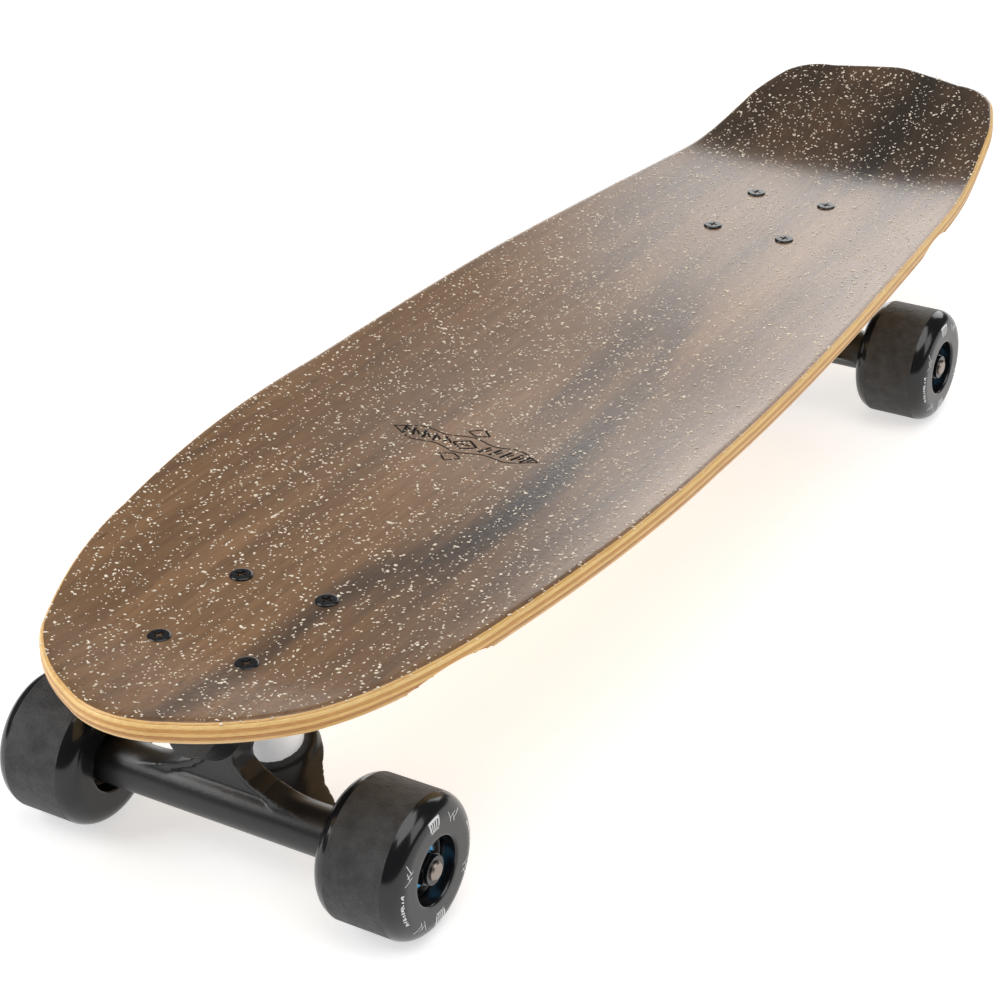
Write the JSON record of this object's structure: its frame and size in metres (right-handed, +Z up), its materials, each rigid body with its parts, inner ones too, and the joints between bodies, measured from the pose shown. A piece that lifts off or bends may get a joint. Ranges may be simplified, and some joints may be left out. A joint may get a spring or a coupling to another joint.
{
  "type": "cruiser skateboard",
  "caption": "Kick-tail cruiser skateboard: laminated wooden deck, sprung steering trucks and soft urethane wheels on ball bearings.",
  "frame": {"origin": "on the ground under the middle of the board's length and width", "axes": "+Z up, +Y towards the kick tail, +X towards the board's left side (rider facing the nose at -Y)"},
  "size_m": [0.2134, 0.7486, 0.1364],
  "materials": {
    "walnut_veneer": "dark walnut under a clear satin grit coat",
    "light_ply": "pale laminated ply, lacquered edge",
    "amber_ply": "amber laminated ply, lacquered edge",
    "black_rubber": "matt black riser",
    "cast_black": "satin black powder coat over cast aluminium",
    "cup_urethane": "black urethane",
    "black_steel": "black oxide steel",
    "bright_steel": "zinc-plated steel",
    "white_urethane": "white cast urethane",
    "axle_steel": "turned steel",
    "blue_shield": "blue bearing shield",
    "bearing_steel": "ground bearing steel",
    "black_urethane": "black cast urethane, glossy lips and matt tread"
  },
  "bodies": {
    "deck": {"deck_top_veneer": "walnut_veneer", "deck_ply_2": "light_ply", "deck_ply_3": "amber_ply", "deck_core_ply_4": "light_ply", "deck_ply_5": "amber_ply", "deck_ply_6": "light_ply", "deck_bottom_veneer": "light_ply", "front_riser_pad": "black_rubber", "front_baseplate": "cast_black", "front_pivot_cup": "cup_urethane", "front_kingpin": "black_steel", "front_kingpin_nut": "black_steel", "front_cup_washers": "bright_steel", "front_boardside_bushing": "white_urethane", "front_roadside_bushing": "white_urethane", "front_mounting_bolts": "black_steel", "front_mounting_nuts": "black_steel", "rear_riser_pad": "black_rubber", "rear_baseplate": "cast_black", "rear_pivot_cup": "cup_urethane", "rear_kingpin": "black_steel", "rear_kingpin_nut": "black_steel", "rear_cup_washers": "bright_steel", "rear_boardside_bushing": "white_urethane", "rear_roadside_bushing": "white_urethane", "rear_mounting_bolts": "black_steel", "rear_mounting_nuts": "black_steel"},
    "front_hanger": {"front_hanger": "cast_black", "front_axle": "axle_steel", "front_speed_washers": "bright_steel", "front_axle_nuts": "black_steel", "front_left_bearing_inner_rings": "bearing_steel", "front_left_bearing_spacer": "bright_steel", "front_right_bearing_inner_rings": "bearing_steel", "front_right_bearing_spacer": "bright_steel"},
    "front_left_wheel": {"front_left_wheel": "black_urethane", "front_left_bearing_outer_rings": "bearing_steel", "front_left_bearing_shields": "blue_shield"},
    "front_left_ball_sets": {"front_left_bearing_ball_sets": "bearing_steel"},
    "front_right_wheel": {"front_right_wheel": "black_urethane", "front_right_bearing_outer_rings": "bearing_steel", "front_right_bearing_shields": "blue_shield"},
    "front_right_ball_sets": {"front_right_bearing_ball_sets": "bearing_steel"},
    "rear_hanger": {"rear_hanger": "cast_black", "rear_axle": "axle_steel", "rear_speed_washers": "bright_steel", "rear_axle_nuts": "black_steel", "rear_left_bearing_inner_rings": "bearing_steel", "rear_left_bearing_spacer": "bright_steel", "rear_right_bearing_inner_rings": "bearing_steel", "rear_right_bearing_spacer": "bright_steel"},
    "rear_left_wheel": {"rear_left_wheel": "black_urethane", "rear_left_bearing_outer_rings": "bearing_steel", "rear_left_bearing_shields": "blue_shield"},
    "rear_left_ball_sets": {"rear_left_bearing_ball_sets": "bearing_steel"},
    "rear_right_wheel": {"rear_right_wheel": "black_urethane", "rear_right_bearing_outer_rings": "bearing_steel", "rear_right_bearing_shields": "blue_shield"},
    "rear_right_ball_sets": {"rear_right_bearing_ball_sets": "bearing_steel"}
  },
  "joints": [
    {"name": "front_truck_steer", "type": "hinge", "parent": "deck", "child": "front_hanger", "pos_m": [0, -0.27265, 0.04], "axis": [0, -0.8262, 0.5633], "range_deg": [-20, 20], "stiffness_Nm_per_rad": 60, "deforming": ["front_boardside_bushing", "front_roadside_bushing"]},
    {"name": "front_left_wheel_spin", "type": "hinge", "parent": "front_hanger", "child": "front_left_wheel", "pos_m": [0.077, -0.30475, 0.03], "axis": [1, 0, 0], "continuous": true},
    {"name": "front_left_ball_orbit", "type": "hinge", "parent": "front_hanger", "child": "front_left_ball_sets", "pos_m": [0.077, -0.30475, 0.03], "axis": [1, 0, 0], "continuous": true},
    {"name": "front_right_wheel_spin", "type": "hinge", "parent": "front_hanger", "child": "front_right_wheel", "pos_m": [-0.077, -0.30475, 0.03], "axis": [1, 0, 0], "continuous": true},
    {"name": "front_right_ball_orbit", "type": "hinge", "parent": "front_hanger", "child": "front_right_ball_sets", "pos_m": [-0.077, -0.30475, 0.03], "axis": [1, 0, 0], "continuous": true},
    {"name": "rear_truck_steer", "type": "hinge", "parent": "deck", "child": "rear_hanger", "pos_m": [0, 0.17935, 0.04], "axis": [0, 0.8262, 0.5633], "range_deg": [-20, 20], "stiffness_Nm_per_rad": 60, "deforming": ["rear_boardside_bushing", "rear_roadside_bushing"]},
    {"name": "rear_left_wheel_spin", "type": "hinge", "parent": "rear_hanger", "child": "rear_left_wheel", "pos_m": [0.077, 0.21145, 0.03], "axis": [1, 0, 0], "continuous": true},
    {"name": "rear_left_ball_orbit", "type": "hinge", "parent": "rear_hanger", "child": "rear_left_ball_sets", "pos_m": [0.077, 0.21145, 0.03], "axis": [1, 0, 0], "continuous": true},
    {"name": "rear_right_wheel_spin", "type": "hinge", "parent": "rear_hanger", "child": "rear_right_wheel", "pos_m": [-0.077, 0.21145, 0.03], "axis": [1, 0, 0], "continuous": true},
    {"name": "rear_right_ball_orbit", "type": "hinge", "parent": "rear_hanger", "child": "rear_right_ball_sets", "pos_m": [-0.077, 0.21145, 0.03], "axis": [1, 0, 0], "continuous": true}
  ],
  "couplings": [
    {"joint": "front_left_ball_orbit", "follows": "front_left_wheel_spin", "ratio": 0.6323},
    {"joint": "front_right_ball_orbit", "follows": "front_right_wheel_spin", "ratio": 0.6323},
    {"joint": "rear_left_ball_orbit", "follows": "rear_left_wheel_spin", "ratio": 0.6323},
    {"joint": "rear_right_ball_orbit", "follows": "rear_right_wheel_spin", "ratio": 0.6323}
  ]
}
